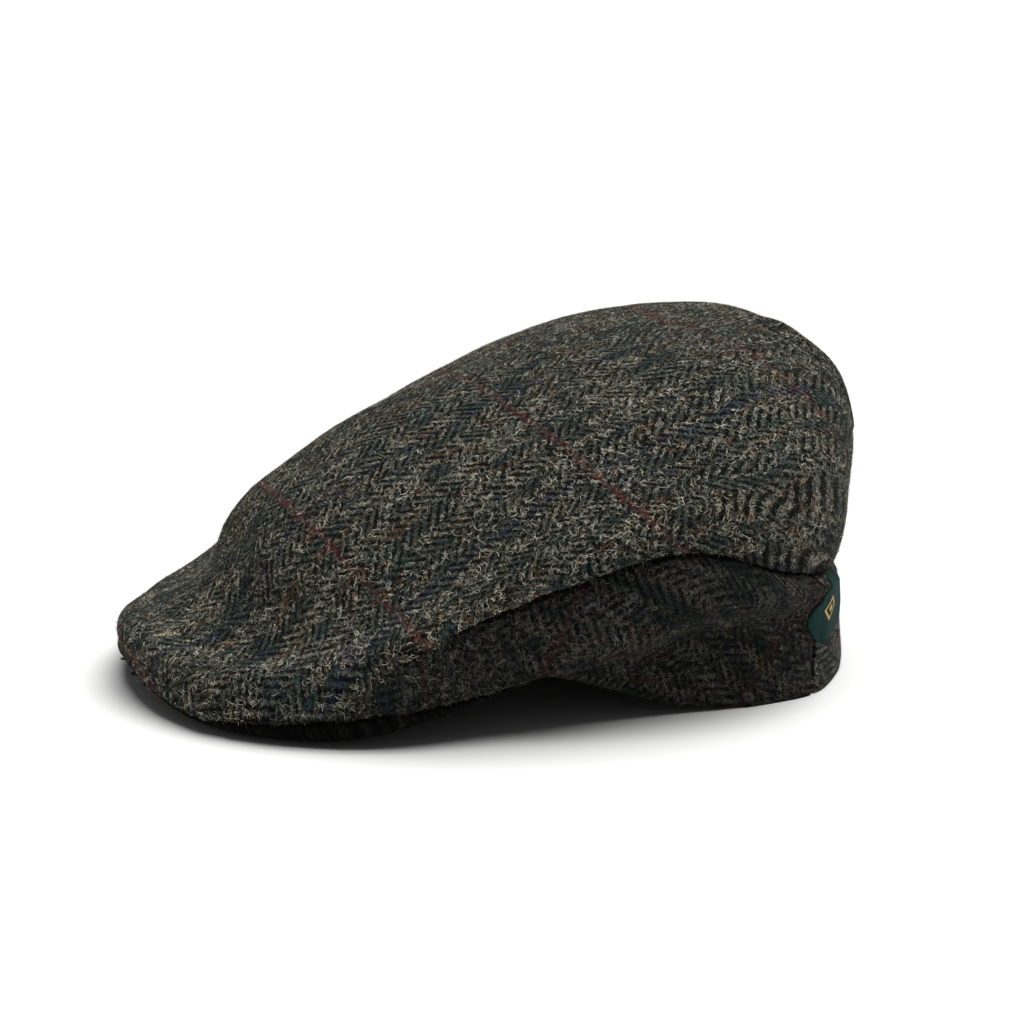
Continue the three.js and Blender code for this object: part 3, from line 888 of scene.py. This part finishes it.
def front_cover(bases):
    """The top cloth run down over the front ends of both side seams, flush with the panels."""
    tree = surface_of(bases)
    outside = 0.09
    turns = np.linspace(-52, 52, 209)
    away = np.abs(turns)
    shares = np.linspace(0, 1, 64)
    reach = np.empty((len(turns), len(shares)))
    hubs, ways = [], []
    for row, turn in enumerate(turns):
        # A fan of rays from a hub inside the rim sweeps from the fold up over the seam
        seam_r, seam_z, fold_r, fold_z = seam_of(away[row])
        hub = (seam_r - 0.025, seam_z - 0.014)
        at_seam = math.atan2(seam_z - hub[1], seam_r - hub[0])
        under = 0.10 * (1 - float(ease(8, 24, away[row])))
        at_fold = math.atan2(fold_z - hub[1], fold_r - hub[0]) - under
        angle = at_fold - 0.03 + shares * (at_seam + 0.75 - at_fold + 0.03)
        out = level_way(turn)
        centre = Vector((0, CENTRE_Y, hub[1])) + out * hub[0]
        way = [out * math.cos(a) + Vector((0, 0, math.sin(a))) for a in angle]
        for column, ray in enumerate(way):
            hit = tree.ray_cast(centre + ray * outside, -ray, outside)[0]
            reach[row, column] = (hit - centre).length if hit else np.nan
        good = ~np.isnan(reach[row])
        reach[row] = np.interp(shares, shares[good], reach[row][good])
        # Near the seam the cloth bridges its groove
        arc = (angle - at_seam) * 0.029
        widens, narrows = float(ease(10, 24, away[row])), float(ease(28, 48, away[row]))
        half = (0.004 + 0.004 * widens) - 0.0055 * narrows
        low, high = np.interp([max(-half, arc[0]), half], arc, reach[row])
        inside = np.abs(arc) < half
        blend = (arc + half) / (2 * half)
        bridged = low + (high - low) * blend * blend * (3 - 2 * blend)
        reach[row] = np.where(inside, np.maximum(bridged, reach[row]), reach[row])
        hubs.append(centre)
        ways.append(way)
    relax(reach, rounds=10, own=2)
    # Toward its ends and edges the cover sinks just under the panels
    fade_turn = 1 - ease(29, 51, away)
    fade_high, fade_low = 1 - ease(0.6, 0.95, shares), ease(0.0, 0.06, shares)
    fade = fade_turn[:, None] * fade_high[None, :] * fade_low[None, :]
    reach += COVER_WALL - 0.0011 * (1 - fade)
    grid = [
        [hubs[r] + ways[r][c] * reach[r, c] for c in range(len(shares))]
        for r in range(len(turns))
    ]
    return thin_shell("front_cover", np.array(grid), COVER_WALL)


def seam_allowance():
    """The turned-in edges behind the top seam, from one side round the back to the other."""
    left = [(turn, 1) for turn in np.linspace(56, 180, 90)]
    right = [(turn, -1) for turn in np.linspace(180, 56, 90)[1:]]
    grid = []
    for turn, side in left + right:
        seam_r, seam_z, _, _ = seam_of(turn)
        angle = math.radians(turn) * side
        behind = seam_r - ALLOWANCE_DEPTH
        y = CENTRE_Y - behind * math.cos(angle)
        grid.append([
            [(behind - 0.0004 * (high < 0)) * math.sin(angle), y, seam_z + high]
            for high in np.linspace(-0.0045, 0.0045, 7)
        ])
    return thin_shell("seam_allowance", np.array(grid), THIN_WALL)


def finish_piece(piece, material, slot, *nodes):
    """Gives a piece its material, its body and the CAD nodes that it stands for. The slot is not used.
    """
    piece.data.materials.clear()
    piece.data.materials.append(material)
    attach(piece, "root")
    if nodes:
        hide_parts(*nodes)


weave = herringbone_group()
tweed = tweed_group(weave)
TWEED = cloth_material("tweed_crown", tweed, tone_and_shade=0.62)
# The side panels' tweed is darkened to 0.22: painted shade, for sides that face away from the overhead
# lamp and lie under the fold
SHADED_SIDE = cloth_material("tweed_side_painted_shade", tweed, tone_and_shade=0.22)
BACK = cloth_material("tweed_back", tweed, tone_and_shade=0.6)
# The peak's tweed is darkened to 0.07: painted shade, for its edge that faces down in shadow below the
# front cover
SHADED_PEAK = cloth_material("tweed_peak_painted_shade", tweed, tone_and_shade=0.07, bump=0.7, windowpane=0.3)
FUZZ = fuzz_material()
LABEL = label_material()

crown = cad_copy("top_panel", "crown_cloth")
points = shape_crown(places(crown.data), facings(crown.data))
put_places(crown.data, points)
put_uv(crown.data, crown_uv(points))
finish_piece(crown, TWEED, "tweed", "top_panel")

bands = []
for number, (node, name) in enumerate([
    ("side_panel_left", "left_side_cloth"),
    ("side_panel_right", "right_side_cloth"),
    ("back_panel", "back_cloth"),
]):
    band = cad_copy(node, name, hem_edge)
    points = places(band.data)
    put_uv(band.data, band_uv(points) if node == "back_panel" else side_uv(points))
    put_places(band.data, shape_band(points, facings(band.data), 5 + 3 * number))
    finish_piece(band, BACK if node == "back_panel" else SHADED_SIDE, "tweed", node)
    bands.append(band)

# The peak hangs a little lower toward its ends
peak = cad_copy("peak", "peak_cloth", peak_edge)
points = places(peak.data)
turn = turn_of(points)
below = seam_of(turn)[3] - points[:, 2]
points[:, 2] -= 0.0018 * np.exp(-((turn - 38) / 9) ** 2) * ease(0.002, 0.005, below)
put_places(peak.data, points)
put_uv(peak.data, np.stack([points[:, 0], points[:, 1] + 0.5 * points[:, 2]], 1))
finish_piece(peak, SHADED_PEAK, "peak_cloth", "peak")

cover = front_cover([crown, peak] + bands[:2])
put_uv(cover.data, crown_uv(places(cover.data)))
finish_piece(cover, TWEED, "tweed")

allowance = seam_allowance()
put_uv(allowance.data, band_uv(places(allowance.data)))
finish_piece(allowance, SHADED_SIDE, "tweed")

backings = []
for side, name, base in ((1, "rear_seam_left", bands[0]), (-1, "rear_seam_right", bands[1])):
    backing = rear_seam_backing(name, [base, bands[2]], side)
    put_uv(backing.data, band_uv(places(backing.data)))
    finish_piece(backing, SHADED_SIDE, "tweed")
    backings.append(backing)

label = label_patch([bands[0], bands[2]])
points = places(label.data)
label_u = (turn_of(points) - LABEL_TURN + 1.8) * math.radians(1) * 0.107
put_uv(label.data, np.stack([label_u, 0.044 - points[:, 2]], 1))
finish_piece(label, LABEL, "label_cloth", "label")

for piece in (crown, *bands, peak, cover, allowance, *backings, label):
    put_places(piece.data, pulled(places(piece.data)))

# Loose wool, as name, cloths, count, seed, length, lift and strength of colour
top = [crown, cover]
for name, bases, count, seed, length, lift, strength in [
    ("crown_fuzz_a", top, 32000, 11, 0.0023, 0.0009, 1.45),
    ("crown_fuzz_b", top, 32000, 12, 0.0015, 0.0004, 1.25),
    ("crown_fuzz_c", top, 32000, 13, 0.0015, 0.0004, 1.25),
    # The side panels' fibres are dimmed to 0.26: painted shade, to match their darkened cloth
    ("left_side_fuzz", [bands[0]], 18000, 14, 0.0018, 0.0004, 0.26),
    ("right_side_fuzz", [bands[1]], 18000, 15, 0.0018, 0.0004, 0.26),
    ("back_fuzz", [bands[2]], 14000, 16, 0.0018, 0.0004, 0.7),
]:
    fuzz = wool_fuzz(bases, name, count, seed, length, lift, strength)
    finish_piece(fuzz, FUZZ, "tweed")

# Floor, light and camera
bpy.ops.mesh.primitive_plane_add(size=30, location=(0, 0, 0))
floor = bpy.context.object
floor.name = "floor"
paper = bpy.data.materials.new("pale_floor")
paper.use_nodes = True
matt = paper.node_tree.nodes["Principled BSDF"].inputs
matt["Base Color"].default_value = FLOOR_COLOUR
matt["Roughness"].default_value = FLOOR_ROUGHNESS
floor.data.materials.append(paper)

world = bpy.data.worlds.new("studio")
bpy.context.scene.world = world
world.use_nodes = True
world.node_tree.nodes["Background"].inputs["Color"].default_value = (1, 1, 1, 1)
world.node_tree.nodes["Background"].inputs["Strength"].default_value = WORLD_STRENGTH

light = bpy.data.lights.new("overhead", "SUN")
light.angle = math.radians(LAMP_SPREAD)
light.energy = LAMP_POWER
lamp = placed("overhead", light)
lamp.location = LAMP_TOWARD
lamp.rotation_euler = Vector(LAMP_TOWARD).to_track_quat("Z", "Y").to_euler()
bpy.context.scene.view_settings.view_transform = "Standard"

azimuth, elevation, roll = (math.radians(VIEW[key]) for key in ("azimuth", "elevation", "roll"))
sin_e, cos_e = math.sin(elevation), math.cos(elevation)
back = Vector((math.sin(azimuth) * cos_e, -math.cos(azimuth) * cos_e, sin_e))
level = Vector((math.cos(azimuth), math.sin(azimuth), 0))
upright = Vector((-sin_e * math.sin(azimuth), sin_e * math.cos(azimuth), cos_e))
right = level * math.cos(roll) + upright * math.sin(roll)
up = upright * math.cos(roll) - level * math.sin(roll)
target = Vector((0, 0, AIM_HEIGHT)) + right * VIEW["right"] + up * VIEW["up"]
lens = bpy.data.cameras.new("camera")
lens.sensor_width = SENSOR
lens.lens = SENSOR * VIEW["scale"] * VIEW["distance"] / PICTURE
camera = placed("camera", lens)
aimed = Matrix((right, up, back)).transposed().to_4x4()
camera.matrix_world = Matrix.Translation(target + back * VIEW["distance"]) @ aimed
bpy.context.scene.camera = camera
